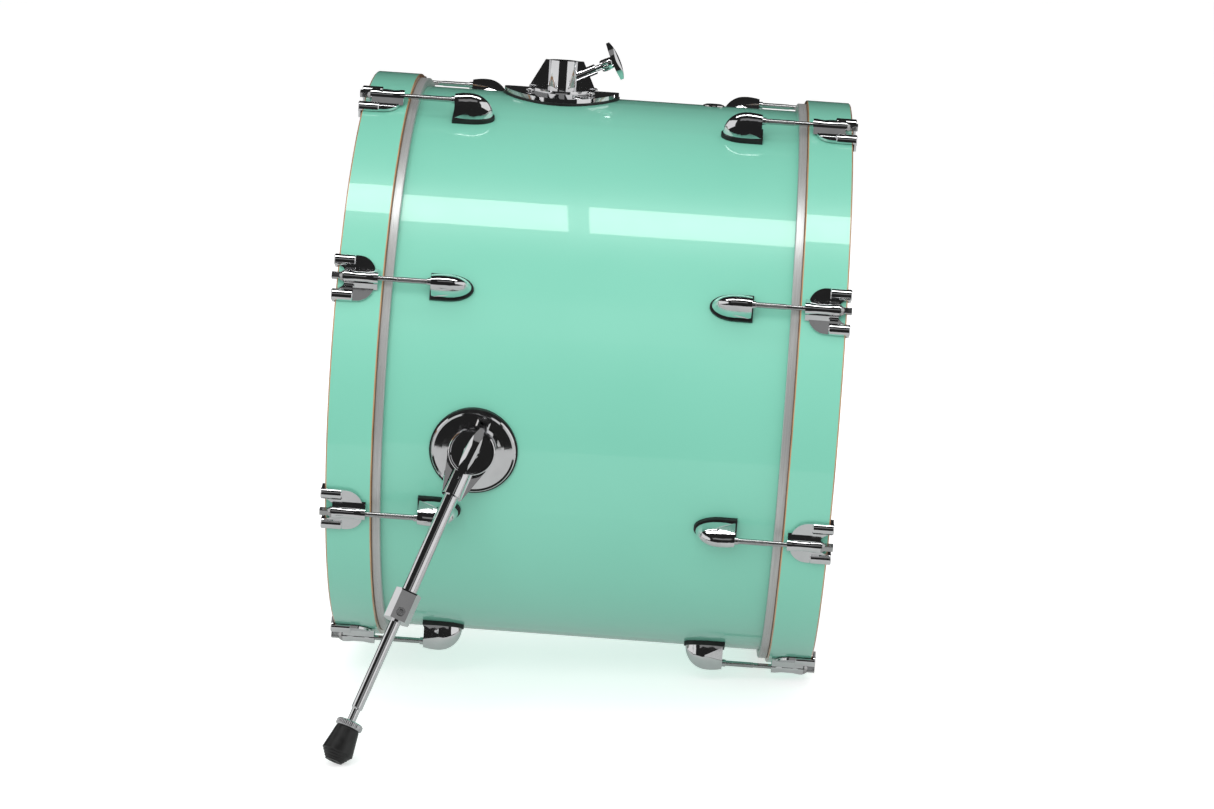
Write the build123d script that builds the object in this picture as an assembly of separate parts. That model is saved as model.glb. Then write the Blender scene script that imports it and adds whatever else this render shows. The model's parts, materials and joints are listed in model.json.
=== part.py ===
from build123d import *
import os
from math import atan2, cos, degrees, radians, sin, sqrt

# Bass drum, 22 x 17.5 inch. Millimetres, +X from the resonant (front) head to the batter head, +Z up.
# Every sub-part is drawn in the drum's own frame (axis along X, top at +Z, centre at the origin), and
# the whole drum is then tipped nose-up and lifted until its batter hoop and spur feet meet z = 0.

# ---- driving dimensions -------------------------------------------------------------------------------
SHELL_R = 279.4             # outer radius of the 22 inch shell
SHELL_WALL = 7.5
SHELL_DEPTH = 444.5
HOOP_R = 291.4              # outer radius of the wooden hoops
HOOP_WALL = 9.9
HOOP_WIDTH = 44.5
HALF_LENGTH = 242.75        # drum centre to the outer edge of a hoop
TILT = 3.816                # nose-up tip of the drum's axis, degrees
FLESH_R = 287.6             # metal hoop of the drumhead, outer radius
FLESH_WIDTH = 8.3
FILM = 0.4                  # drumhead film
ROD_R = 298.7               # drum axis to tension-rod axis
LUG_ANGLES = [22.5 + 45 * k for k in range(8)]

# lug casting: flat end towards the hoop, rounded tail towards the middle of the shell
LUG_END = 152.4             # drum centre to the flat end
LUG_SHOULDER = 15.1         # flat end to where the tail starts to round off
LUG_TAIL = 23.0             # shoulder to the tip of the tail
LUG_HALF_WIDTH = 11.2
LUG_TOP = 27.3              # height above the shell
GASKET = 4.0
GASKET_LIP = 1.7
NUT_R = 3.7
NUT_REACH = 3.9             # how far the swivel nut stands out of the lug
ROD_THREAD_R = 2.75
ROD_SHANK_R = 2.45
RUN = 0.05                  # radial clearance of a running fit
CLAW_IN = 203.0             # claw barrel, inner end
CLAW_OUT = 235.0            # claw barrel, outer end
CLAW_HALF_WIDTH = 22.4
CLAW_TIP_T = 17.2           # tangential place of each hook tip
CLAW_TIP_R = 5.7
CLAW_PLATE = 2.5
CLAW_CORNER = 17.0          # radius of the plate's inner corners
CLAW_LIP = 2.4              # how far the hook tips stand past the hoop's edge
CLAW_TIP_LENGTH = 18.0
BARREL_R, BARREL_WAIST_R = 6.1, 5.2
PAD = 1.1
SCREW_R = 2.5

# tom-holder bracket on the crest
TOM_S = -52.5
TOM_FLANGE_R = 58.7
TOM_FLANGE = 4.0
TOM_GASKET = 2.5
TOM_TUBE_R = 15.0
TOM_BORE_R = 12.8
TOM_TOP = 36.2
TOM_BOLT_RISE = 26.3        # wing bolt's slope from the drum's axis, degrees
TOM_BOLT_R = 3.0
TOM_WING_S = 53.0           # tube axis to the centre of the handle, along the drum
TOM_WING_H = 39.4           # handle's centre above the shell
TOM_SCREW_AT = 31.0
TOM_BOSS_R, TOM_BOSS_END = 5.3, 22.0    # the boss for the wing bolt, and its distance from the handle
TOM_SLEEVE = 16.0           # handle's centre to the end of the bolt's thick sleeve
HANDLE_HALF_WIDTH, HANDLE_CROWN_R = 6.5, 7.5
FIN_HALF = 3.6              # half thickness of the bracket's trapezoid fins
VENT_S = 104.0
VENT_R = 6.5

# spur on the drummer's left; the right one is its mirror image
SPUR_S = -102.6
SPUR_ANGLE = 99.2
SPUR_GASKET_R = 42.4
SPUR_GASKET = 2.5
SPUR_PLATE_R = 40.8
PIVOT_TIP = 18.0            # swivel axis leans this much towards the top of the drum
HUB_LOW, HUB_HIGH = 11.2, 24.0
HUB_R = 22.2
SEAT_R = 20.0
WEB_LOW, SLEEVE_LOW = 10.9, 6.6         # undersides of the arm, which passes over the plate as it folds
RIB_R, RIB_WALL, RIB_HIGH = 27.6, 2.8, 2.4
RIB_FROM, RIB_TO = 18, 66   # degrees round the plate
BLOCK_R, BLOCK_ANGLE = 31.0, 74
PIVOT_R = 4.0
HANDLE_LENGTH = 50.0
LEG_START = (-1.0, 2.8, 10.0)          # where the leg's axis meets the swivel axis
LEG_DIR = (-0.3119, -0.7633, 0.5658)   # down the leg: along the drum, towards the top, off the shell
SLEEVE_R = 10.0
SLEEVE_END = 48.8
TUBE_R = 7.25
TUBE_TOP = 27.0
COLLAR_TOP, COLLAR_END = 150.4, 180.2
COLLAR_STEP = 166.0
CLAMP_AT = 172.0
CLAMP_SCREW_R = 2.5
LEG_ROD_R = 5.25
LEG_ROD_TOP, LEG_ROD_END = 105.0, 271.5
NECK_R = 4.0
NUT_TOP, NUT_END = 284.2, 290.2
FOOT_TOP, FOOT_WIDE, FOOT_END = 290.6, 314.6, 323.5
FOOT_TRAVEL = 12.0

SHELL_IN = SHELL_R - SHELL_WALL
SHELL_HALF = SHELL_DEPTH / 2
HOOP_IN = HALF_LENGTH - HOOP_WIDTH
AXIS_HEIGHT = HALF_LENGTH * sin(radians(TILT)) + HOOP_R * cos(radians(TILT))
STANDING = Pos(0, 0, AXIS_HEIGHT) * Rot(0, TILT, 0)


# ---- helpers ------------------------------------------------------------------------------------------
def along_x(radius, start, end):
    """A cylinder along X from start to end."""
    return Plane(origin=(start, 0, 0), z_dir=(1, 0, 0)) * extrude(Circle(radius), amount=end - start)


def tube_x(outer, inner, start, end):
    return along_x(outer, start, end) - along_x(inner, start - 1, end + 1)


def rod_between(radius, foot, head):
    """A cylinder from point foot to point head."""
    axis = Vector(*head) - Vector(*foot)
    return Plane(origin=foot, z_dir=axis) * extrude(Circle(radius), amount=axis.length)


def turned(points):
    """A solid of revolution about Z from a half outline of (radius, height) points."""
    outline = make_face(Polyline(*[(r, 0, z) for r, z in points], close=True))
    return revolve(outline, Axis.Z)


def on_drum(angle, station, radius):
    """A frame standing on the drum: z outwards, x along the drum. angle runs from the top to the left."""
    return Rot(angle, 0, 0) * Pos(station, 0, radius)


def station(side, angle):
    """The frame of one lug, on the shell at the lug's flat end, with x towards the hoop of that side."""
    turn = Rot(0, 0, 0) if side > 0 else Rot(0, 0, 180)
    return on_drum(angle, side * LUG_END, SHELL_R) * turn


def ring_of(shape, side):
    """Eight copies of a shape drawn in a lug's frame, kept as separate solids."""
    solids = []
    for angle in LUG_ANGLES:
        solids += [station(side, angle) * s for s in shape.solids()]
    return Compound(solids)


def write(name, shape):
    solids = [STANDING * s for s in shape.solids()]
    export_step(solids[0] if len(solids) == 1 else Compound(solids), f"parts/{name}.step")


# ---- shell, heads and hoops ---------------------------------------------------------------------------
def shell():
    outline = [
        (SHELL_R, -SHELL_HALF + 2), (SHELL_R - 2, -SHELL_HALF), (SHELL_IN, -SHELL_HALF + SHELL_WALL - 2),
        (SHELL_IN, SHELL_HALF - SHELL_WALL + 2), (SHELL_R - 2, SHELL_HALF), (SHELL_R, SHELL_HALF - 2),
    ]
    body = Rot(0, 90, 0) * turned(outline)
    body -= on_drum(0, VENT_S, SHELL_IN - 5) * extrude(Circle(VENT_R), amount=20)
    body -= on_drum(0, TOM_S, SHELL_IN - 5) * extrude(Circle(TOM_BORE_R + 0.7), amount=25)
    drill = extrude(Circle(SCREW_R + 0.1), amount=30)
    for x, y in tom_screw_places():
        body -= on_drum(0, TOM_S, SHELL_IN - 12) * Pos(x, y, 0) * drill
    for side in (-1, 1):
        for angle in LUG_ANGLES:
            for x in lug_screw_places():
                body -= station(side, angle) * Pos(x, 0, -15) * drill
    for x, y in spur_screw_places():
        hole = spur_frame() * Pos(x, y, -18) * drill
        body -= hole
        body -= mirror(hole, Plane.XZ)
    return body


def vent_grommet():
    body = turned([(VENT_R - 1.5, -SHELL_WALL - 1.5), (VENT_R + 3.0, -SHELL_WALL - 1.5),
                   (VENT_R + 3.0, -SHELL_WALL - 0.2), (VENT_R - 0.1, -SHELL_WALL - 0.2),
                   (VENT_R - 0.1, 0.1), (VENT_R + 4.5, 0.1), (VENT_R + 4.2, 1.2),
                   (VENT_R + 1.5, 2.2), (VENT_R - 1.5, 1.4)])
    return on_drum(0, VENT_S, SHELL_R) * body


def hoop(side):
    body = tube_x(HOOP_R, HOOP_R - HOOP_WALL, HOOP_IN, HALF_LENGTH)
    body = chamfer(body.edges().filter_by(GeomType.CIRCLE), 0.9)
    return body if side > 0 else mirror(body, Plane.YZ)


def flesh_hoop(side):
    inner = SHELL_R + FILM + 0.3
    body = tube_x(FLESH_R, inner, HOOP_IN - FLESH_WIDTH, HOOP_IN - 0.1)
    body = chamfer(body.edges().filter_by(GeomType.CIRCLE), 0.6)
    return body if side > 0 else mirror(body, Plane.YZ)


def head(side):
    """Film across the bearing edge, with its collar running down inside the flesh hoop."""
    face = SHELL_HALF + 0.1
    wall = SHELL_R + 0.2
    outline = [
        (0, face), (wall - 2, face), (wall, face - 2), (wall, HOOP_IN - FLESH_WIDTH + 1),
        (wall + FILM, HOOP_IN - FLESH_WIDTH + 1), (wall + FILM, face - 2 + FILM / 2),
        (wall - 2 + FILM / 2, face + FILM), (0, face + FILM),
    ]
    body = Rot(0, 90, 0) * turned(outline)
    return body if side > 0 else mirror(body, Plane.YZ)


# ---- tension hardware, drawn in one lug's frame -------------------------------------------------------
ROD_H = ROD_R - SHELL_R      # rod axis above the shell
HOOP_H = HOOP_R - SHELL_R    # hoop's surface above the shell


def lug_screw_places():
    return (-7.0, -25.0)


def arch(x, scale):
    """The lug's cross-section: a half ellipse on its flat base."""
    half = LUG_HALF_WIDTH * scale
    rise = (LUG_TOP - GASKET) * scale
    crown = EllipticalCenterArc((0, 0), half, rise, start_angle=0, arc_size=180)
    base = Line((-half, 0), (half, 0))
    frame = Plane(origin=(x, 0, GASKET), x_dir=(0, 1, 0), z_dir=(1, 0, 0))
    return frame * make_face([crown, base])


def lug_outline(lip):
    """The lug's footprint, grown by lip all round."""
    half = LUG_HALF_WIDTH + lip
    tail = EllipticalCenterArc((-LUG_SHOULDER, 0), LUG_TAIL + lip, half, start_angle=90, arc_size=180)
    end = Polyline((-LUG_SHOULDER, -half), (lip, -half), (lip, half), (-LUG_SHOULDER, half))
    return make_face([tail, end])


def lug():
    front = loft([arch(0, 0.93), arch(-0.45 * LUG_SHOULDER, 0.985), arch(-LUG_SHOULDER, 1.0)])
    tail = loft([arch(-LUG_SHOULDER - LUG_TAIL * sin(radians(t)), cos(radians(t)))
                 for t in (0, 18, 36, 54, 68, 79, 87)])
    body = front + tail
    for hand in (-1, 1):
        # the scooped side: a three-cornered facet from the flat end back along the nut's barrel
        high, back = (0.2, hand * 6.6, 18.0), (-19.5, hand * 9.9, 15.0)
        low = (0.2, hand * 10.6, GASKET + 0.6)
        facet = make_face(Polyline(high, back, low, close=True))
        normal = (Vector(*back) - Vector(*high)).cross(Vector(*low) - Vector(*high))
        if normal.Y * hand < 0:
            normal = normal * -1
        body -= extrude(facet, amount=9, dir=normal.normalized())
    body -= Pos(0, 0, ROD_H) * along_x(NUT_R + RUN, -26, 1)
    for x in lug_screw_places():
        body -= Pos(x, 0, 0) * extrude(Circle(SCREW_R + 0.05), amount=12)
    return body


def lug_gasket():
    body = Pos(0, 0, -1) * extrude(lug_outline(GASKET_LIP), amount=GASKET + 1)
    body -= Pos(0, 0, -SHELL_R) * along_x(SHELL_R, -60, 20)
    for x in lug_screw_places():
        body -= Pos(x, 0, -2) * extrude(Circle(SCREW_R + 0.1), amount=12)
    return body


def swivel_nut():
    bore, low, high = ROD_THREAD_R + RUN, -20.0, NUT_REACH
    body = turned([(bore, low), (NUT_R, low), (NUT_R, high - 0.5), (NUT_R - 0.5, high), (bore, high)])
    return Pos(0, 0, ROD_H) * Rot(0, 90, 0) * body


def screw(reach):
    """A hex-washer screw standing on Z: its washer bears at z = 0 and its shank reaches up to z = reach."""
    head_across = 8.0
    body = Pos(0, 0, -4.5) * extrude(RegularPolygon(head_across / sqrt(3), 6), amount=3.0)
    body += Pos(0, 0, -1.5) * extrude(Circle(6.2), amount=1.4)
    body += Pos(0, 0, -0.5) * extrude(Circle(SCREW_R), amount=reach + 0.5)
    return body


def lug_screws():
    pair = [Pos(x, 0, -SHELL_WALL) * screw(SHELL_WALL + 11.0) for x in lug_screw_places()]
    rows = [ring_of(Compound(pair), side).solids() for side in (-1, 1)]
    return Compound(rows[0] + rows[1])


def claw_outline(inset):
    """Plan of a claw plate: quarter-round inner corners and a U-shaped gap between the hook tips."""
    inner = CLAW_IN + 3.0 - LUG_END + inset
    outer = HALF_LENGTH + PAD - LUG_END - inset
    half = CLAW_HALF_WIDTH - inset
    gap_half = CLAW_TIP_T - CLAW_TIP_R + 0.7 + inset
    gap_end = CLAW_OUT - 2.0 - LUG_END + gap_half
    blank = make_face(Polyline((inner, -half), (outer, -half), (outer, half), (inner, half), close=True))
    corners = [v for v in blank.vertices() if v.X < inner + 1]
    blank = fillet(corners, CLAW_CORNER)
    gap = make_face(Polyline((gap_end, -gap_half), (outer + 1, -gap_half),
                             (outer + 1, gap_half), (gap_end, gap_half), close=True))
    return blank - gap - Pos(gap_end, 0) * Circle(gap_half)


def over_hoop(low, high, start, end):
    """The layer of space between two heights above the hoop's surface."""
    layer = along_x(HOOP_R + high, start, end) - along_x(HOOP_R + low, start - 1, end + 1)
    return Pos(0, 0, -SHELL_R) * layer


def claw():
    """Plate over the hoop, a waisted barrel for the rod's head and two hook tips that turn down the edge."""
    start, end = CLAW_IN - LUG_END, HALF_LENGTH + PAD - LUG_END
    lip, tip_length, barrel_length = CLAW_LIP, CLAW_TIP_LENGTH, CLAW_OUT - CLAW_IN
    body = extrude(claw_outline(0), amount=40) & over_hoop(PAD, PAD + CLAW_PLATE, start, end)
    ridge = Plane(origin=(start, 0, 0), x_dir=(0, 1, 0), z_dir=(1, 0, 0)) * make_face(Polyline(
        (-10.5, HOOP_H + 2.4), (-6.3, ROD_H + 0.8), (6.3, ROD_H + 0.8), (10.5, HOOP_H + 2.4), close=True))
    body += extrude(ridge, amount=barrel_length - 0.3)
    body += Pos(start - 0.4, 0, ROD_H) * Rot(0, 90, 0) * turned([
        (0, 0), (BARREL_R, 0), (BARREL_R, 4), (BARREL_WAIST_R, 11), (BARREL_WAIST_R, 21), (BARREL_R, 28),
        (BARREL_R, barrel_length + 0.4), (0, barrel_length + 0.4)])
    hoop_room = Pos(0, 0, -SHELL_R) * along_x(HOOP_R + PAD, start - 5, end)
    for hand in (-1, 1):
        tip = Pos(end - tip_length, hand * CLAW_TIP_T, HOOP_H + 1.4) * Rot(0, 90, 0) * turned([
            (0, 0), (CLAW_TIP_R - 0.8, 0), (CLAW_TIP_R, 0.8), (CLAW_TIP_R, tip_length + lip - 0.8),
            (CLAW_TIP_R - 0.8, tip_length + lip), (0, tip_length + lip)])
        hook = Pos(end + (lip - 0.3) / 2, hand * CLAW_TIP_T, HOOP_H - 2.8) * Box(lip - 0.3, 9.6, 10.5)
        body += (tip + hook) - hoop_room
    body -= hoop_room
    body -= Pos(0, 0, ROD_H) * along_x(ROD_SHANK_R + 0.35, start - 5, end + 10)
    return body


def claw_pad():
    """A rubber liner between the claw and the hoop, turned down over the hoop's outer edge."""
    start, end = CLAW_IN - LUG_END, HALF_LENGTH - LUG_END
    body = extrude(claw_outline(1.0), amount=40) & over_hoop(0, PAD, start, end + PAD)
    for hand in (-1, 1):
        body += Pos(end + PAD / 2, hand * CLAW_TIP_T, HOOP_H - 4.2) * Box(PAD, 9.4, 8.2)
    return body - Pos(0, 0, -SHELL_R) * along_x(HOOP_R, start - 5, end)


def tension_rod():
    """Square key head and conical flange outside the claw, plain shank, then thread into the nut."""
    flange = CLAW_OUT + 0.2
    thread = 184.0
    tip = HALF_LENGTH + 4.0
    low = LUG_END - 18.5
    body = turned([
        (0, low), (ROD_THREAD_R - 0.6, low), (ROD_THREAD_R, low + 0.8), (ROD_THREAD_R, thread),
        (ROD_SHANK_R, thread + 0.6), (ROD_SHANK_R, flange), (5.4, flange), (5.4, flange + 1.1),
        (3.3, flange + 4.2), (0, flange + 4.2)])
    square = chamfer(Rectangle(6.2, 6.2).vertices(), 0.7)
    body += Pos(0, 0, flange + 4.0) * extrude(square, amount=tip - flange - 4.0)
    return Pos(-LUG_END, 0, ROD_H) * Rot(0, 90, 0) * body


# ---- tom-holder bracket -------------------------------------------------------------------------------
def tom_frame():
    return on_drum(0, TOM_S, SHELL_R)


def tom_screw_places():
    return [(x, y) for x in (-TOM_SCREW_AT, TOM_SCREW_AT) for y in (-TOM_SCREW_AT, TOM_SCREW_AT)]


def saddle(radius, low, high):
    """A round plate bent over the shell, between two heights above it."""
    layer = along_x(SHELL_R + high, -radius - 5, radius + 5) - along_x(SHELL_R + low, -radius - 6, radius + 6)
    disc = Pos(0, 0, -20) * extrude(Circle(radius), amount=60)
    return disc & (Pos(0, 0, -SHELL_R) * layer)


def tom_gasket():
    body = saddle(TOM_FLANGE_R + 1.0, 0, TOM_GASKET)
    body -= Pos(0, 0, -10) * extrude(Circle(TOM_BORE_R + 0.7), amount=20)
    for x, y in tom_screw_places():
        body -= Pos(x, y, -10) * extrude(Circle(SCREW_R + 0.1), amount=20)
    return tom_frame() * body


def tom_bolt_axis():
    """The wing bolt's axis in the bracket's frame: handle centre, then the direction back to the tube."""
    rise = radians(TOM_BOLT_RISE)
    return Vector(TOM_WING_S, 0, TOM_WING_H), Vector(-cos(rise), 0, -sin(rise))


def tom_bracket():
    body = saddle(TOM_FLANGE_R, TOM_GASKET, TOM_GASKET + TOM_FLANGE)
    raised = saddle(TOM_FLANGE_R - 26, TOM_GASKET, TOM_GASKET + TOM_FLANGE + 1.6)
    body += raised + extrude(Circle(TOM_TUBE_R), amount=TOM_TOP)
    fin = make_face(Polyline((-36.0, 0, 4), (-18.5, 0, TOM_TOP), (20.5, 0, TOM_TOP), (36.0, 0, 4), close=True))
    body += extrude(fin, amount=FIN_HALF, both=True)
    handle, back = tom_bolt_axis()
    boss_end = handle + back * TOM_BOSS_END
    body += rod_between(TOM_BOSS_R, boss_end, handle + back * 46.0)
    body -= Pos(0, 0, -SHELL_R) * along_x(SHELL_R + TOM_GASKET, -90, 90)
    body -= Pos(0, 0, -20) * extrude(Circle(TOM_BORE_R), amount=80)
    body -= rod_between(TOM_BOLT_R + RUN, handle, handle + back * 52.0)
    for x, y in tom_screw_places():
        body -= Pos(x, y, -10) * extrude(Circle(SCREW_R + 0.1), amount=30)
    return tom_frame() * body


def tom_screws():
    """Round-head screws down through the flange, each with a nut and washer inside the shell."""
    solids = []
    for x, y in tom_screw_places():
        lean = degrees(atan2(y, SHELL_R))
        drop = SHELL_R + TOM_GASKET + TOM_FLANGE - sqrt((SHELL_R + TOM_GASKET + TOM_FLANGE) ** 2 - y ** 2)
        top = TOM_GASKET + TOM_FLANGE - drop
        inside = -SHELL_WALL - (SHELL_IN - sqrt(SHELL_IN ** 2 - y ** 2))
        head = Pos(0, 0, top + 0.75) * extrude(Circle(4.6), amount=2.6)
        head = fillet(head.edges().group_by(Axis.Z)[-1], 2.2)
        shank = Pos(0, 0, inside - 8) * extrude(Circle(SCREW_R), amount=top + 0.9 - inside + 8)
        nut = Pos(0, 0, inside - 6.8) * extrude(RegularPolygon(4.9, 6), amount=5.5)
        solids.append(Pos(x, y, 0) * (head + shank + nut))
    return tom_frame() * Compound([s for shape in solids for s in shape.solids()])


def handle_bar(length, rise):
    """A lens-shaped finger bar with a crowned top and blunt ends; its length is along X and its top at rise."""
    half, end, under = length / 2, 1.8, -3.6
    plan = make_face(ThreePointArc((-half, -end), (0, -HANDLE_HALF_WIDTH), (half, -end))
                     + Line((half, -end), (half, end))
                     + ThreePointArc((half, end), (0, HANDLE_HALF_WIDTH), (-half, end))
                     + Line((-half, end), (-half, -end)))
    bow = make_face(ThreePointArc((-half - 1, 0, 0.4), (0, 0, rise), (half + 1, 0, 0.4))
                    + Line((half + 1, 0, 0.4), (half + 1, 0, -2.4))
                    + ThreePointArc((half + 1, 0, -2.4), (0, 0, under), (-half - 1, 0, -2.4))
                    + Line((-half - 1, 0, -2.4), (-half - 1, 0, 0.4)))
    crown = Pos(0, 0, rise - HANDLE_CROWN_R) * along_x(HANDLE_CROWN_R, -half - 2, half + 2)
    return extrude(plan, amount=20, both=True) & extrude(bow, amount=20, both=True) & crown


def tom_wing_bolt():
    """Wing bolt that clamps the tom post: finger bar, thick sleeve and a stud through the bracket's boss."""
    centre, back = tom_bolt_axis()
    frame = Plane(origin=centre, x_dir=(-back.Z, 0, back.X), z_dir=back * -1)
    body = handle_bar(40.0, 4.4)
    body += turned([(0, -TOM_SLEEVE), (5.2, -TOM_SLEEVE), (6.0, 1 - TOM_SLEEVE), (6.0, -5.0), (5.0, -2.5),
                    (5.0, 0.5), (0, 0.5)])
    reach = -(TOM_WING_S - TOM_BORE_R - 2.0) / cos(radians(TOM_BOLT_RISE))
    body += Pos(0, 0, reach) * extrude(Circle(TOM_BOLT_R), amount=0.5 - TOM_SLEEVE - reach)
    return tom_frame() * (frame * body)


# ---- spur ---------------------------------------------------------------------------------------------
def spur_frame():
    return on_drum(SPUR_ANGLE, SPUR_S, SHELL_R)


def pivot_frame():
    """z along the swivel axis, which leans towards the top of the drum."""
    return Pos(0, 0, 3.0) * Rot(-PIVOT_TIP, 0, 0)


def leg_frame():
    """z down the leg, y off the shell."""
    flat = sqrt(LEG_DIR[0] ** 2 + LEG_DIR[1] ** 2)
    across = (-LEG_DIR[1] / flat, LEG_DIR[0] / flat, 0)
    return Plane(origin=LEG_START, x_dir=across, z_dir=LEG_DIR)


def spur_screw_places():
    return [(31 * cos(radians(t)), 31 * sin(radians(t))) for t in (100, 220, 340)]


def spur_gasket():
    body = Pos(0, 0, -6) * extrude(Circle(SPUR_GASKET_R), amount=SPUR_GASKET + 6)
    body -= Pos(0, 0, -SHELL_R) * along_x(SHELL_R, -60, 60)
    for x, y in spur_screw_places():
        body -= Pos(x, y, -8) * extrude(Circle(SCREW_R + 0.1), amount=20)
    return body


def spur_plate():
    """Domed round base with a raised seat for the swivel, a stop block and an arc rib."""
    low = SPUR_GASKET
    body = turned([(0, low), (SPUR_PLATE_R, low), (SPUR_PLATE_R, low + 1.6), (SPUR_PLATE_R - 1.0, low + 2.6),
                   (SPUR_PLATE_R - 3.0, low + 2.2), (30, low + 3.0), (20, low + 3.5), (0, low + 3.6)])
    seat = pivot_frame() * (Pos(0, 0, -10) * extrude(Circle(SEAT_R), amount=HUB_LOW + 9.7))
    rib = Pos(0, 0, low + 2) * extrude(Circle(RIB_R) - Circle(RIB_R - RIB_WALL), amount=RIB_HIGH)
    ends = [(60 * cos(radians(t)), 60 * sin(radians(t))) for t in (RIB_FROM, RIB_TO)]
    rib = rib & extrude(make_face(Polyline((0, 0), *ends, close=True)), amount=20)
    block = Rot(0, 0, BLOCK_ANGLE) * Pos(BLOCK_R, 0, low + 4.4) * Box(7.6, 13.0, 6.0)
    block = chamfer(block.edges().group_by(Axis.Z)[-1], 1.4)
    body = body + seat + rib + block
    body -= Pos(0, 0, low - 30) * Box(120, 120, 60)
    body -= pivot_frame() * (Pos(0, 0, 2) * extrude(Circle(PIVOT_R + RUN), amount=40))
    for x, y in spur_screw_places():
        body -= Pos(x, y, 0) * extrude(Circle(SCREW_R + 0.05), amount=low + 2.2)
    return body


def spur_swivel():
    """Round hub with its dished cap, and the tapering arm that carries the leg's sleeve."""
    hub = turned([(PIVOT_R + RUN, HUB_LOW), (HUB_R, HUB_LOW), (HUB_R, HUB_HIGH - 0.8),
                  (HUB_R - 0.8, HUB_HIGH), (HUB_R - 1.9, HUB_HIGH), (HUB_R - 2.6, HUB_HIGH - 1.0),
                  (PIVOT_R + RUN, HUB_HIGH - 1.0)])
    body = leg_frame() * (Pos(0, 0, 12) * extrude(Circle(SLEEVE_R), amount=SLEEVE_END - 12))
    web = make_face(Polyline((-21.5, 0, 8), (-SLEEVE_R - 0.4, 0, SLEEVE_END - 1),
                             (SLEEVE_R + 0.4, 0, SLEEVE_END - 1), (21.5, 0, 8), close=True))
    under = Pos(0, 0, WEB_LOW - 60) * extrude(Circle(80), amount=60)
    body += leg_frame() * extrude(web, amount=2.2, both=True) - pivot_frame() * under
    room = turned([(0, -20), (60, -20), (60, SLEEVE_LOW), (HUB_R + 0.4, SLEEVE_LOW),
                   (HUB_R + 0.4, HUB_LOW), (0, HUB_LOW)])
    above = turned([(0, HUB_HIGH - 1.0), (HUB_R - 2.6, HUB_HIGH - 1.0), (HUB_R - 1.9, HUB_HIGH),
                    (HUB_R, HUB_HIGH), (HUB_R, 60), (0, 60)])
    body -= pivot_frame() * room
    body -= pivot_frame() * above
    body += pivot_frame() * hub
    body -= pivot_frame() * (Pos(0, 0, -5) * extrude(Circle(PIVOT_R + RUN), amount=60))
    body -= leg_frame() * (Pos(0, 0, TUBE_TOP) * extrude(Circle(TUBE_R + RUN), amount=60))
    return body


def spur_wing():
    """Finger bar on a threaded stud through the hub, turned in line with the leg."""
    aim = degrees(atan2(LEG_DIR[1], LEG_DIR[0]))
    body = Pos(0, 0, HUB_HIGH + 9.5) * handle_bar(HANDLE_LENGTH, 4.2)
    body += turned([(0, HUB_HIGH - 0.8), (7.4, HUB_HIGH - 0.8), (7.4, HUB_HIGH + 2.5), (5.6, HUB_HIGH + 6.5),
                    (5.0, HUB_HIGH + 9.5), (0, HUB_HIGH + 9.5)])
    body += Pos(0, 0, 3) * extrude(Circle(PIVOT_R), amount=HUB_HIGH)
    return pivot_frame() * (Rot(0, 0, aim) * body)


def leg_tube():
    body = Pos(0, 0, TUBE_TOP + 0.2) * extrude(Circle(TUBE_R) - Circle(LEG_ROD_R + 0.35),
                                               amount=COLLAR_STEP - TUBE_TOP - 0.4)
    return leg_frame() * body


def clamp_collar():
    """Split clamp at the end of the outer tube: rounded back, bevelled sides and a flat front face."""
    outline = make_face(Polyline((-12.6, 3.6), (-7.4, 10.6), (7.4, 10.6), (12.6, 3.6), (12.6, -2.0),
                                 (8.6, -7.6), (3.4, -10.2), (-3.4, -10.2), (-8.6, -7.6), (-12.6, -2.0),
                                 close=True))
    body = Pos(0, 0, COLLAR_TOP) * extrude(outline, amount=COLLAR_END - COLLAR_TOP)
    body -= Pos(0, 14.2, COLLAR_TOP - 1.0) * Rot(58, 0, 0) * Box(30, 16, 9.0)
    body -= Pos(0, 0, COLLAR_TOP - 1) * extrude(Circle(TUBE_R + RUN), amount=COLLAR_STEP - COLLAR_TOP + 1)
    body -= Pos(0, 0, COLLAR_STEP - 1) * extrude(Circle(LEG_ROD_R + RUN), amount=40)
    body -= Pos(0, -9, COLLAR_TOP + 15) * Box(1.2, 10, 40)
    body -= Pos(0, 4, CLAMP_AT) * Rot(-90, 0, 0) * extrude(Circle(CLAMP_SCREW_R + RUN), amount=10)
    body -= Pos(0, 9.4, CLAMP_AT) * Rot(-90, 0, 0) * extrude(Circle(4.4), amount=4)
    return leg_frame() * body


def clamp_screw():
    """Socket screw whose point bears on the leg rod."""
    reach = 3.8
    body = extrude(Circle(CLAMP_SCREW_R), amount=reach) + Pos(0, 0, reach) * extrude(Circle(4.0), amount=2.6)
    body -= Pos(0, 0, reach + 0.8) * extrude(RegularPolygon(2.3, 6), amount=4)
    return leg_frame() * (Pos(0, LEG_ROD_R + 0.6, CLAMP_AT) * Rot(-90, 0, 0) * body)


def leg_rod():
    """Inner rod, threaded neck and the steel spike inside the rubber foot."""
    body = turned([(0, LEG_ROD_TOP), (LEG_ROD_R - 0.8, LEG_ROD_TOP), (LEG_ROD_R, LEG_ROD_TOP + 0.8),
                   (LEG_ROD_R, LEG_ROD_END - 1.6), (NECK_R, LEG_ROD_END), (NECK_R, 300), (0.7, 320.5),
                   (0, 320.5)])
    return leg_frame() * body


def lock_nut():
    body = turned([(NECK_R + RUN, NUT_TOP), (11.6, NUT_TOP), (12.5, NUT_TOP + 0.9), (12.5, NUT_END - 0.9),
                   (11.6, NUT_END), (NECK_R + RUN, NUT_END)])
    return leg_frame() * body


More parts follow.
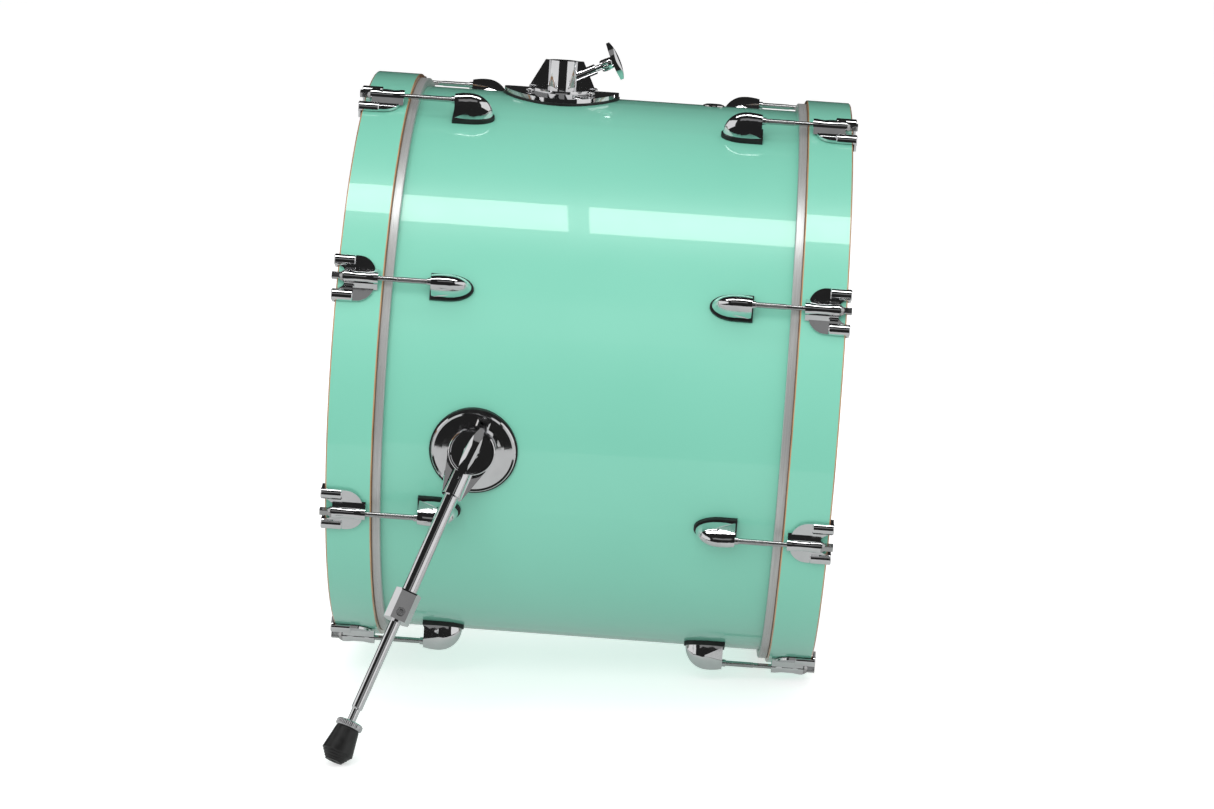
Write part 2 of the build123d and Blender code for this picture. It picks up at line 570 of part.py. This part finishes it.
def rubber_foot():
    """Rubber boot: widening body, then a stepped taper to the flat tread."""
    bore_end = 300.0 + FOOT_TRAVEL
    steps = 4
    drop = (FOOT_END - FOOT_WIDE) / steps
    step_in = (15.0 - 8.3) / steps
    outline = [(NECK_R + RUN, FOOT_TOP), (10.6, FOOT_TOP), (11.3, FOOT_TOP + 1.2), (15.0, FOOT_WIDE)]
    for k in range(steps):
        outline.append((15.0 - step_in * (k + 1), FOOT_WIDE + drop * (k + 0.62)))
        outline.append((15.0 - step_in * (k + 1), FOOT_WIDE + drop * (k + 1)))
    outline += [(2.7, FOOT_END), (NECK_R + 0.4, bore_end), (NECK_R + RUN, bore_end)]
    return leg_frame() * turned(outline)


def spur_screws():
    """Three screws through the shell into each spur's base plate."""
    solids = []
    for x, y in spur_screw_places():
        inside = -SHELL_WALL - (SHELL_IN - sqrt(SHELL_IN ** 2 - y ** 2))
        seat = spur_frame() * (Pos(x, y, inside - 0.9) * screw(SPUR_GASKET + 1.9 - inside + 0.9))
        solids += seat.solids()
        solids += mirror(seat, Plane.XZ).solids()
    return Compound(solids)


# ---- assembly -----------------------------------------------------------------------------------------
def main():
    os.makedirs("parts", exist_ok=True)
    write("shell", shell())
    write("vent_grommet", vent_grommet())
    write("lug_screws", lug_screws())
    write("spur_screws", spur_screws())
    for name, side in (("front", -1), ("batter", 1)):
        write(f"{name}_hoop", hoop(side))
        write(f"{name}_flesh_hoop", flesh_hoop(side))
        write(f"{name}_head", head(side))
        write(f"{name}_lugs", ring_of(lug(), side))
        write(f"{name}_lug_gaskets", ring_of(lug_gasket(), side))
        write(f"{name}_swivel_nuts", ring_of(swivel_nut(), side))
        write(f"{name}_claws", ring_of(claw(), side))
        write(f"{name}_claw_pads", ring_of(claw_pad(), side))
        for number, angle in enumerate(LUG_ANGLES, 1):
            write(f"{name}_tension_rod_{number}", station(side, angle) * tension_rod())
    write("tom_bracket", tom_bracket())
    write("tom_gasket", tom_gasket())
    write("tom_bracket_screws", tom_screws())
    write("tom_wing_bolt", tom_wing_bolt())
    spur = {
        "spur_base_plate": spur_plate, "spur_gasket": spur_gasket, "spur_swivel_arm": spur_swivel,
        "spur_wing_screw": spur_wing, "leg_tube": leg_tube, "leg_clamp_collar": clamp_collar,
        "leg_clamp_screw": clamp_screw, "leg_rod": leg_rod, "foot_lock_nut": lock_nut,
        "rubber_foot": rubber_foot,
    }
    for name, make in spur.items():
        piece = spur_frame() * make()
        write(f"left_{name}", piece)
        write(f"right_{name}", mirror(piece, Plane.XZ))


main()
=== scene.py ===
import json
import math

import bpy
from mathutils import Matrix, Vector


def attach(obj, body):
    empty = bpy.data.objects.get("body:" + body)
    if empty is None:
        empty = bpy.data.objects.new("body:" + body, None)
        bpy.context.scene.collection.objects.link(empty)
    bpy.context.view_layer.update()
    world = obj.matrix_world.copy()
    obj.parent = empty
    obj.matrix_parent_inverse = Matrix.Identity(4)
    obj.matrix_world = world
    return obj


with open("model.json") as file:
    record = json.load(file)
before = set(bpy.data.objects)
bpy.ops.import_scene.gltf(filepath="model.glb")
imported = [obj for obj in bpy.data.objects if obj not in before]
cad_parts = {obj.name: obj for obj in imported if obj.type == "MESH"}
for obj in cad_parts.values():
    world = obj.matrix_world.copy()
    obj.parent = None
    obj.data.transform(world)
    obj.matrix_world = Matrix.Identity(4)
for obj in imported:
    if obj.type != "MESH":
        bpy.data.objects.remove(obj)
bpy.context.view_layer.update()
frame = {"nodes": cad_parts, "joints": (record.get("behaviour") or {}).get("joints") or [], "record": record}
MM = 0.001

# The drum stands nose-up on its batter hoop and spurs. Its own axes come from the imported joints: ALONG
# runs from the front head to the batter head, and the tension rods' joints ring the axis at both ends.
JOINTS = {joint["name"]: joint for joint in frame["joints"]}
RODS = [name[: -len("_turn")] for name in JOINTS if "_rod_" in name]


def joint_line(name):
    """A hinge's point and unit axis."""
    joint = JOINTS[name]
    return Vector(joint["pos_m"]), Vector(joint["axis"]).normalized()


ROD_POINTS = [joint_line(rod + "_turn")[0] for rod in RODS]
DRUM_CENTRE = sum(ROD_POINTS, Vector()) / len(ROD_POINTS)
ALONG = joint_line("batter_rod_1_turn")[1]
TILT = math.atan2(-ALONG.z, ALONG.x)


def node_points(node):
    return [vertex.co for vertex in frame["nodes"][node].data.vertices]


def stations(points, origin, axis, least, most):
    """How far along a line the points lie whose distance from it is between least and most."""
    found = []
    for point in points:
        arm = point - origin
        along = arm.dot(axis)
        if least <= (arm - along * axis).length <= most:
            found.append(along)
    return found


def drum_extent(node):
    """A node's least and greatest distance from the drum's middle, and from its axis."""
    along, radii = [], []
    for point in node_points(node):
        arm = point - DRUM_CENTRE
        station = arm.dot(ALONG)
        along.append(abs(station))
        radii.append((arm - station * ALONG).length)
    return min(along), max(along), min(radii), max(radii)


# ---- material helpers ---------------------------------------------------------------------------------
def shaded(colour, factor):
    return tuple(part * factor for part in colour)


class Look:
    """A Principled material with short ways to add procedural nodes."""

    def __init__(self, name, colour, roughness, **sockets):
        self.material = bpy.data.materials.new(name)
        self.material.use_nodes = True
        self.tree = self.material.node_tree
        self.shader = self.tree.nodes["Principled BSDF"]
        self.set("Base Color", (*colour, 1.0))
        self.set("Roughness", roughness)
        for socket, value in sockets.items():
            self.set(socket.replace("_", " ").title().replace("Ior", "IOR"), value)

    def set(self, socket, value):
        """A plain value, or the output of another node."""
        target = self.shader.inputs[socket]
        if isinstance(value, bpy.types.NodeSocket):
            self.tree.links.new(value, target)
        else:
            target.default_value = value

    def node(self, kind, inputs=(), **settings):
        made = self.tree.nodes.new(kind)
        for name, value in settings.items():
            setattr(made, name, value)
        for key, value in dict(inputs).items():
            if isinstance(value, bpy.types.NodeSocket):
                self.tree.links.new(value, made.inputs[key])
            else:
                made.inputs[key].default_value = value
        return made

    def math(self, operation, first, second=0.0):
        return self.node("ShaderNodeMath", {0: first, 1: second}, operation=operation).outputs[0]

    def place(self):
        return self.node("ShaderNodeTexCoord").outputs["Object"]

    def noise(self, scale, detail=3.0, vector=None, roughness=0.5):
        inputs = {"Vector": vector or self.place(), "Scale": scale, "Detail": detail,
                  "Roughness": roughness}
        return self.node("ShaderNodeTexNoise", inputs).outputs["Fac"]

    def spread(self, value, low, high, start=0.3, stop=0.7):
        """Maps start..stop to low..high."""
        inputs = {"Value": value, "From Min": start, "From Max": stop,
                  "To Min": low, "To Max": high}
        return self.node("ShaderNodeMapRange", inputs).outputs["Result"]

    def mix(self, factor, first, second):
        made = self.node("ShaderNodeMix", {"Factor": factor}, data_type="RGBA")
        for socket, value in ((made.inputs[6], first), (made.inputs[7], second)):
            if isinstance(value, bpy.types.NodeSocket):
                self.tree.links.new(value, socket)
            else:
                socket.default_value = (*value, 1.0)
        return made.outputs[2]

    def bump(self, height, distance, strength):
        inputs = {"Height": height, "Distance": distance, "Strength": strength}
        return self.node("ShaderNodeBump", inputs).outputs["Normal"]

    def drum_place(self):
        """Station along the drum, angle round it and radius from its axis, in metres and radians."""
        inputs = {0: self.place(), 1: DRUM_CENTRE}
        arm = self.node("ShaderNodeVectorMath", inputs, operation="SUBTRACT").outputs[0]
        inputs = {"Vector": arm, "Angle": -TILT}
        turned = self.node("ShaderNodeVectorRotate", inputs, rotation_type="Y_AXIS")
        parts = self.node("ShaderNodeSeparateXYZ", {0: turned.outputs[0]}).outputs
        angle = self.math("ARCTAN2", parts["Y"], parts["Z"])
        squares = self.math("ADD", self.math("MULTIPLY", parts["Y"], parts["Y"]),
                            self.math("MULTIPLY", parts["Z"], parts["Z"]))
        return parts["X"], angle, self.math("SQRT", squares)

    def stretched(self, first, second, third, factors):
        """A vector of three coordinates, each scaled, for stretched noise."""
        scaled = [self.math("MULTIPLY", value, factor)
                  for value, factor in zip((first, second, third), factors)]
        return self.node("ShaderNodeCombineXYZ", dict(enumerate(scaled))).outputs[0]


# ---- wood and lacquer ---------------------------------------------------------------------------------
SEA_GREEN = (0.232, 0.662, 0.500)
SEA_GREEN_DEEP = (0.216, 0.638, 0.478)
MAPLE = (0.62, 0.36, 0.18)
MAPLE_DARK = (0.30, 0.13, 0.045)
PLY = 1.1 * MM
EDGE_LINE = 1.3 * MM
SKIN = 0.2 * MM              # depth of the shell's lacquered surface
GRAIN = (900.0, 9.0, 700.0)  # station, angle and radius: grain that runs round the drum
PLY_SHARE = 0.16
CLOUD_SCALE, SHEEN_SCALE, PEEL_SCALE = 5.0, 40.0, 14.0
PEEL, PEEL_STRENGTH = 0.02 * MM, 0.20


def maple(look, station, angle, radius):
    """Bare maple: plies in rings, and grain that runs round the drum."""
    plies = look.math("SINE", look.math("MULTIPLY", radius, 2 * math.pi / PLY))
    grain = look.noise(1.0, 4.0, look.stretched(station, angle, radius, GRAIN))
    streaks = look.math("ADD", look.math("MULTIPLY", plies, PLY_SHARE), grain)
    return look.mix(look.spread(streaks, 0.0, 1.0), MAPLE, MAPLE_DARK)


def lacquer(name, bare):
    """Gloss sea-foam lacquer over maple; bare(look, station, radius) is 1 where the wood shows."""
    look = Look(name, SEA_GREEN, 0.32, coat_weight=1.0, coat_roughness=0.018, coat_ior=1.45)
    station, angle, radius = look.drum_place()
    cloud = look.noise(CLOUD_SCALE, 3.0)
    green = look.mix(look.spread(cloud, 0.0, 1.0), SEA_GREEN, SEA_GREEN_DEEP)
    shows = bare(look, station, radius)
    look.set("Base Color", look.mix(shows, green, maple(look, station, angle, radius)))
    look.set("Roughness", look.spread(look.noise(SHEEN_SCALE, 3.0), 0.30, 0.36))
    look.set("Coat Normal", look.bump(look.noise(PEEL_SCALE, 1.0), PEEL, PEEL_STRENGTH))
    return look.material


def hoop_bare(look, station, radius):
    """The hoop's two end faces, and a thin line of bare wood round the rim at each."""
    inner, outer, _, _ = drum_extent("batter_hoop")
    from_middle = look.math("ABSOLUTE", station)
    away = look.math("ABSOLUTE", look.math("SUBTRACT", from_middle, (inner + outer) / 2))
    return look.math("GREATER_THAN", away, (outer - inner) / 2 - EDGE_LINE)


def shell_bare(look, station, radius):
    """All of the shell but its outside."""
    return look.math("LESS_THAN", radius, drum_extent("shell")[3] - SKIN)


# ---- metals -------------------------------------------------------------------------------------------
TINT_SCALE, HANDLING_SCALE, RIPPLE_SCALE = 70.0, 160.0, 120.0
PLATING_TINT = 0.93
RIPPLE_STRENGTH = 0.35
BRUSHED_LINES = (2600.0, 5.0, 2600.0)       # station, angle and radius: long lines round the drum
BRUSHED_TINT = 0.72
BRUSHED_METALLIC = 0.45
BRUSHED_DEPTH, BRUSHED_STRENGTH = 0.05 * MM, 0.6


def polished(name, colour, smooth, worn, ripple):
    """Bright plating: faint ripples of the casting under it, and roughness that wanders with handling."""
    look = Look(name, colour, smooth, metallic=1.0)
    tint = look.spread(look.noise(TINT_SCALE, 2.0), 0.0, 1.0)
    look.set("Base Color", look.mix(tint, colour, shaded(colour, PLATING_TINT)))
    handling = look.noise(HANDLING_SCALE, 5.0, roughness=0.65)
    look.set("Roughness", look.spread(handling, smooth, worn))
    look.set("Normal", look.bump(look.noise(RIPPLE_SCALE, 1.0), ripple, RIPPLE_STRENGTH))
    return look.material


def brushed_round(name, colour, low, high):
    """Rolled metal, brushed round the drum."""
    look = Look(name, colour, low, metallic=BRUSHED_METALLIC)
    station, angle, radius = look.drum_place()
    lines = look.noise(1.0, 4.0, look.stretched(station, angle, radius, BRUSHED_LINES))
    dark_lines = shaded(colour, BRUSHED_TINT)
    look.set("Base Color", look.mix(look.spread(lines, 0.0, 1.0), colour, dark_lines))
    look.set("Roughness", look.spread(lines, low, high))
    look.set("Normal", look.bump(lines, BRUSHED_DEPTH, BRUSHED_STRENGTH))
    return look.material


# ---- rubber and film ----------------------------------------------------------------------------------
DUST = 0.008
PATCH_SCALE, RUB_SCALE = 90.0, 240.0
PORE, PORE_STRENGTH = 0.06 * MM, 0.5
FILM_CLOUDS, FILM_SHEEN, STIPPLE_SCALE = 6.0, 400.0, 1900.0
STIPPLE = 0.05 * MM
FILM_TINT, RIM_TINT = 0.95, 0.86
CLEAR_RIM = 16 * MM          # the sprayed coating stops this far inside the collar


def rubber(name, colour, low, high, grain):
    """Moulded black rubber: a fine pore, and patches rubbed a little shinier."""
    look = Look(name, colour, low)
    dusty = tuple(part + DUST for part in colour)
    look.set("Base Color", look.mix(look.spread(look.noise(PATCH_SCALE, 4.0), 0.0, 1.0), colour, dusty))
    look.set("Roughness", look.spread(look.noise(RUB_SCALE, 4.0), low, high))
    look.set("Normal", look.bump(look.noise(grain, 2.0), PORE, PORE_STRENGTH))
    return look.material


def coated_film(name, colour, stipple, low, high):
    """Polyester drumhead film with a sprayed stipple, and a clear margin next to its collar."""
    look = Look(name, colour, low)
    look.set("Roughness", look.spread(look.noise(FILM_SHEEN, 3.0), low, high))
    look.set("Normal", look.bump(look.noise(STIPPLE_SCALE, 2.0), STIPPLE, stipple))
    _, _, radius = look.drum_place()
    bare = look.math("GREATER_THAN", radius, drum_extent("batter_head")[3] - CLEAR_RIM)
    clouds = look.spread(look.noise(FILM_CLOUDS, 5.0), 0.0, 1.0)
    coat = look.mix(clouds, colour, shaded(colour, FILM_TINT))
    look.set("Base Color", look.mix(bare, coat, shaded(colour, RIM_TINT)))
    return look.material


LOOKS = {
    "shell_lacquer": lacquer("shell_lacquer_look", shell_bare),
    "hoop_lacquer": lacquer("hoop_lacquer_look", hoop_bare),
    "head_film": coated_film("head_film_look", (0.87, 0.87, 0.84), 0.5, 0.45, 0.62),
    "flesh_hoop_metal": brushed_round("flesh_hoop_look", (0.60, 0.61, 0.60), 0.26, 0.42),
    "black_gasket": rubber("gasket_look", (0.005, 0.005, 0.005), 0.42, 0.60, 1500.0),
    "black_rubber_pad": rubber("pad_look", (0.012, 0.012, 0.012), 0.50, 0.70, 1200.0),
    "foot_rubber": rubber("foot_look", (0.004, 0.004, 0.004), 0.30, 0.48, 1300.0),
    "rod_steel": polished("rod_look", (0.50, 0.50, 0.50), 0.12, 0.26, 0.04 * MM),
    "zinc_steel": polished("zinc_look", (0.62, 0.62, 0.63), 0.14, 0.30, 0.04 * MM),
    "bright_grommet": polished("grommet_look", (0.78, 0.77, 0.74), 0.04, 0.12, 0.03 * MM),
    "chrome": polished("chrome_plate", (0.80, 0.80, 0.81), 0.025, 0.085, 0.05 * MM),
}


SOFTENED = {
    "spur_wing_screw": 1.3 * MM, "tom_wing_bolt": 1.2 * MM, "leg_clamp_collar": 0.9 * MM,
    "spur_swivel_arm": 0.5 * MM, "claws": 0.45 * MM, "tom_bracket": 0.5 * MM,
    "spur_base_plate": 0.4 * MM, "lugs": 0.35 * MM, "leg_clamp_screw": 0.5 * MM,
}
SOFT_ANGLE = math.radians(28)


def soften(shown, width):
    """Rounds a casting's edges, as polishing and plating do."""
    bevel = shown.modifiers.new("polished_edges", "BEVEL")
    bevel.width = width
    bevel.segments = 3
    bevel.limit_method = "ANGLE"
    bevel.angle_limit = SOFT_ANGLE


def dress_frame():
    """Every CAD node takes the look of its material slot, and castings get rounded edges."""
    for part in frame["record"]["subparts"]:
        shown = frame["nodes"][part["node"]]
        shown.data.materials.clear()
        shown.data.materials.append(LOOKS[part["material_slot"]])
        for ending, width in SOFTENED.items():
            if part["node"].endswith(ending):
                soften(shown, width)


# ---- threads ------------------------------------------------------------------------------------------
THREAD_PITCH = 1.06 * MM
THREAD_STEPS = 20
RIDGE_SHARE = 0.45           # half the ridge's width, as a share of the pitch
CREST = 0.14 * MM
ROOT = 0.25 * MM
SLACK = 0.05 * MM


def new_piece(name, points, faces, body, slot):
    """A mesh piece in its slot's look, riding on a body."""
    mesh = bpy.data.meshes.new(name)
    mesh.from_pydata([tuple(point) for point in points], [], faces)
    mesh.validate()
    mesh.materials.append(LOOKS[slot])
    made = bpy.data.objects.new(name, mesh)
    bpy.context.scene.collection.objects.link(made)
    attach(made, body)
    return made


def thread(name, body, origin, axis, radius, start, stop, slot):
    """A rolled thread: a triangular ridge wound round a shank from start to stop, with closed ends."""
    frame_out = axis.to_track_quat("Z", "Y").to_matrix()
    count = int(abs(stop - start) / THREAD_PITCH * THREAD_STEPS)
    half = THREAD_PITCH * RIDGE_SHARE
    low, high = min(start, stop) + half, max(start, stop) - half
    points, faces = [], []
    for step in range(count + 1):
        turn = 2 * math.pi * step / THREAD_STEPS
        centre = low + (high - low) * step / count
        fade = min(1.0, step / THREAD_STEPS, (count - step) / THREAD_STEPS)
        for lift, shift in ((-ROOT, -half), (CREST * fade, 0.0), (-ROOT, half)):
            reach = radius + lift
            spot = Vector((reach * math.cos(turn), reach * math.sin(turn), centre + shift))
            points.append(origin + frame_out @ spot)
    for step in range(count):
        here, there = 3 * step, 3 * step + 3
        for a, b in ((0, 1), (1, 2), (2, 0)):
            faces.append((here + a, here + b, there + b, there + a))
    faces += [(0, 2, 1), (3 * count, 3 * count + 1, 3 * count + 2)]
    return new_piece(name, points, faces, body, slot)


THREAD_R = 2.75 * MM
TOM_THREAD_R = 3.0 * MM
SLEEVE_R = 6.0 * MM
NUT_RIM_R = 12.5 * MM
KNURL_HIGH, KNURL_SUNK, KNURL_ROOT = 0.25 * MM, 0.1 * MM, 0.6 * MM
KNURL_FROM, KNURL_TO = 2 * MM, 8 * MM       # the sleeve's knurled band, from its inner end
SLEEVE_TEETH, NUT_TEETH = 36, 48


def knurl(name, body, origin, axis, radius, start, stop, teeth, slot):
    """A band of straight knurling round a turned part."""
    frame_out = axis.to_track_quat("Z", "Y").to_matrix()
    points, faces = [], []
    around = 2 * teeth
    for step in range(around):
        turn = 2 * math.pi * step / around
        tooth = radius + (KNURL_HIGH if step % 2 else -KNURL_SUNK)
        root = radius - KNURL_ROOT
        outline = ((root, start), (tooth, start + KNURL_HIGH), (tooth, stop - KNURL_HIGH), (root, stop))
        for reach, along in outline:
            spot = Vector((reach * math.cos(turn), reach * math.sin(turn), along))
            points.append(origin + frame_out @ spot)
    for step in range(around):
        here, there = 4 * step, 4 * ((step + 1) % around)
        for a in range(4):
            b = (a + 1) % 4
            faces.append((here + a, there + a, there + b, here + b))
    return new_piece(name, points, faces, body, slot)


def rod_threads():
    """The rolled thread of each tension rod, from its swivel nut to the plain shank."""
    for rod in RODS:
        end = rod.split("_")[0]
        origin, axis = joint_line(rod + "_turn")
        threaded = stations(node_points(rod.replace("_rod_", "_tension_rod_")), origin, axis,
                            THREAD_R - SLACK, THREAD_R + SLACK)
        nut = stations(node_points(end + "_swivel_nuts"), origin, axis, 0.0, 2 * THREAD_R)
        start, stop = max(nut) + SLACK, max(threaded)
        thread(rod + "_thread", rod, origin, axis, THREAD_R, start, stop, "rod_steel")


def tom_thread():
    """The stud's thread, where it shows between the wing bolt's sleeve and the bracket's boss."""
    origin, axis = joint_line("tom_wing_turn")
    sleeve = stations(node_points("tom_wing_bolt"), origin, axis, 1.5 * TOM_THREAD_R, SLEEVE_R + SLACK)
    boss = stations(node_points("tom_bracket"), origin, axis, TOM_THREAD_R, 1.8 * TOM_THREAD_R)
    start, stop = max(boss) + SLACK, min(sleeve) - SLACK
    thread("tom_wing_thread", "tom_wing", origin, axis, TOM_THREAD_R, start, stop, "chrome")
    start, stop = min(sleeve) + KNURL_FROM, min(sleeve) + KNURL_TO
    knurl("tom_wing_knurl", "tom_wing", origin, axis, SLEEVE_R, start, stop, SLEEVE_TEETH, "chrome")


def lock_nut_knurls():
    """Knurled rims of the two lock nuts above the rubber feet."""
    for side in ("left", "right"):
        origin = joint_line(side + "_clamp_screw_turn")[0]
        axis = Vector(JOINTS[side + "_lock_nut_travel"]["axis"]).normalized()
        nut = node_points(side + "_foot_lock_nut")
        rim = stations(nut, origin, axis, NUT_RIM_R - SLACK, NUT_RIM_R + SLACK)
        knurl(side + "_lock_nut_knurl", side + "_lock_nut", origin, axis, NUT_RIM_R,
              min(rim), max(rim), NUT_TEETH, "zinc_steel")


# ---- studio -------------------------------------------------------------------------------------------
WHITE_WALL = 1.0
AMBIENT_LOW, AMBIENT_HIGH = 0.73, 0.73
AMBIENT_FROM, AMBIENT_TO = -0.6, 0.3        # heights between which the ambient light may change
DARK_STUDIO = 0.018


def studio_world():
    """White to the camera, soft ambient light for matt surfaces, and a dark studio in reflections."""
    world = bpy.data.worlds.new("studio")
    bpy.context.scene.world = world
    world.use_nodes = True
    nodes, links = world.node_tree.nodes, world.node_tree.links
    nodes.clear()
    shades = []
    for value in (AMBIENT_HIGH, WHITE_WALL, DARK_STUDIO):
        shade = nodes.new("ShaderNodeBackground")
        shade.inputs["Color"].default_value = (value, value, value, 1.0)
        shades.append(shade)
    height = nodes.new("ShaderNodeSeparateXYZ")
    links.new(nodes.new("ShaderNodeTexCoord").outputs["Generated"], height.inputs[0])
    glow = nodes.new("ShaderNodeMapRange")
    limits = {"From Min": AMBIENT_FROM, "From Max": AMBIENT_TO,
              "To Min": AMBIENT_LOW, "To Max": AMBIENT_HIGH}
    for name, value in limits.items():
        glow.inputs[name].default_value = value
    links.new(height.outputs["Z"], glow.inputs["Value"])
    links.new(glow.outputs["Result"], shades[0].inputs["Color"])
    path = nodes.new("ShaderNodeLightPath")
    for_camera = nodes.new("ShaderNodeMixShader")
    for_gloss = nodes.new("ShaderNodeMixShader")
    links.new(path.outputs["Is Camera Ray"], for_camera.inputs[0])
    links.new(shades[0].outputs[0], for_camera.inputs[1])
    links.new(shades[1].outputs[0], for_camera.inputs[2])
    links.new(path.outputs["Is Glossy Ray"], for_gloss.inputs[0])
    links.new(for_camera.outputs[0], for_gloss.inputs[1])
    links.new(shades[2].outputs[0], for_gloss.inputs[2])
    links.new(for_gloss.outputs[0], nodes.new("ShaderNodeOutputWorld").inputs["Surface"])


def softbox(name, centre, target, size, brightness, gloss, matt):
    """A rectangular light facing target; gloss and matt say which surfaces see it."""
    light = bpy.data.lights.new(name, "AREA")
    light.shape = "RECTANGLE"
    light.size, light.size_y = size
    light.energy = brightness * math.pi * size[0] * size[1]
    holder = bpy.data.objects.new(name, light)
    bpy.context.scene.collection.objects.link(holder)
    holder.location = centre
    holder.rotation_euler = (Vector(target) - Vector(centre)).to_track_quat("-Z", "Y").to_euler()
    holder.visible_camera = False
    holder.visible_glossy = gloss
    holder.visible_diffuse = matt


STRIP_HIGH = 2.0
STRIP_LONG, STRIP_WIDE, STRIP_GAP = 1.15, 0.40, 0.032
STRIP_MIDDLE = (0.036, -0.70)
STRIP_BRIGHT = 6.2
KEY_BRIGHT = 0.9
WALL_AWAY, WALL_HIGH = 2.3, 1.0
WALL_SIZE = (4.4, 1.9)
WALL_MIDDLE = -1.3
WALL_BRIGHT = 0.80
CARD_AT, CARD_SIZE, CARD_BRIGHT = (0.1, -3.0, 1.75), (2.4, 0.8), 0.22
FILL_SIZE = (2.6, 2.0)
FRONT_FILL_AT, FRONT_FILL_BRIGHT = (-0.4, -3.2, 1.9), 3.2
BACK_FILL_AT, BACK_FILL_BRIGHT = (0.6, 3.2, 2.4), 1.8
KEY_LONG = 2.3


def lights():
    for side in (-1, 1):
        x = STRIP_MIDDLE[0] + side * (STRIP_GAP + STRIP_LONG) / 2
        centre = (x, STRIP_MIDDLE[1], STRIP_HIGH)
        below = (x, STRIP_MIDDLE[1], 0.0)
        softbox(f"top_strip_{side}", centre, below, (STRIP_LONG, STRIP_WIDE), STRIP_BRIGHT, True, False)
        wall, ahead = (side * WALL_AWAY, WALL_MIDDLE, WALL_HIGH), (0.0, WALL_MIDDLE, WALL_HIGH)
        softbox(f"side_wall_{side}", wall, ahead, WALL_SIZE, WALL_BRIGHT, True, False)
    middle = tuple(DRUM_CENTRE)
    softbox("front_card", CARD_AT, middle, CARD_SIZE, CARD_BRIGHT, True, False)
    above = (*STRIP_MIDDLE, STRIP_HIGH)
    softbox("top_key", above, middle, (KEY_LONG, STRIP_WIDE), KEY_BRIGHT, False, True)
    softbox("front_fill", FRONT_FILL_AT, middle, FILL_SIZE, FRONT_FILL_BRIGHT, False, True)
    softbox("back_fill", BACK_FILL_AT, middle, FILL_SIZE, BACK_FILL_BRIGHT, False, True)


FLOOR_SIDE = 40.0
FLOOR_GREY, FLOOR_ROUGH, FLOOR_GLOW = 0.80, 0.7, 0.5
REFLECTED_FRONT, REFLECTED_BACK, REFLECTED_SIDE = -0.80, 3.0, 2.6
TABLE_GREY, TABLE_ROUGH, TABLE_GLOW = 0.42, 0.8, 0.27
MOTTLE_SCALE, MOTTLE = 3.0, 0.975
WHITE_LIGHT = (1.0, 1.0, 1.0, 1.0)


def flat_sheet(name, low, high, grey, rough):
    """A level sheet of the stage, in a faintly mottled grey."""
    look = Look(name + "_look", (grey, grey, grey), rough)
    shades = [(shade, shade, shade) for shade in (grey, grey * MOTTLE)]
    look.set("Base Color", look.mix(look.spread(look.noise(MOTTLE_SCALE, 2.0), 0.0, 1.0), *shades))
    mesh = bpy.data.meshes.new(name)
    corners = [(low[0], low[1], 0.0), (high[0], low[1], 0.0),
               (high[0], high[1], 0.0), (low[0], high[1], 0.0)]
    mesh.from_pydata(corners, [], [(0, 1, 2, 3)])
    mesh.materials.append(look.material)
    made = bpy.data.objects.new(name, mesh)
    bpy.context.scene.collection.objects.link(made)
    return made, look


def floor():
    """A plain pale floor for the camera, and a greyer table top of limited depth for the reflections."""
    half = FLOOR_SIDE / 2
    seen, look = flat_sheet("floor", (-half, -half), (half, half), FLOOR_GREY, FLOOR_ROUGH)
    look.set("Emission Color", WHITE_LIGHT)
    look.set("Emission Strength", FLOOR_GLOW)
    seen.visible_glossy = False
    seen.visible_diffuse = False
    low, high = (-REFLECTED_SIDE, REFLECTED_FRONT), (REFLECTED_SIDE, REFLECTED_BACK)
    mirrored, look = flat_sheet("table_top", low, high, TABLE_GREY, TABLE_ROUGH)
    look.set("Emission Color", WHITE_LIGHT)
    look.set("Emission Strength", TABLE_GLOW)
    mirrored.visible_camera = False
    mirrored.visible_diffuse = False
    mirrored.visible_shadow = False


LENS, SENSOR = 91.57, 36.0
EYE = (0.12236, -3.17362, 0.79835)
YAW, DOWN = 1.977, 9.477


def camera():
    data = bpy.data.cameras.new("camera")
    data.lens, data.sensor_width = LENS, SENSOR
    holder = bpy.data.objects.new("camera", data)
    bpy.context.scene.collection.objects.link(holder)
    holder.location = EYE
    holder.rotation_euler = (math.radians(90 - DOWN), 0.0, math.radians(YAW))
    bpy.context.scene.camera = holder


dress_frame()
rod_threads()
tom_thread()
lock_nut_knurls()
studio_world()
lights()
floor()
camera()
bpy.context.scene.view_settings.view_transform = "Standard"
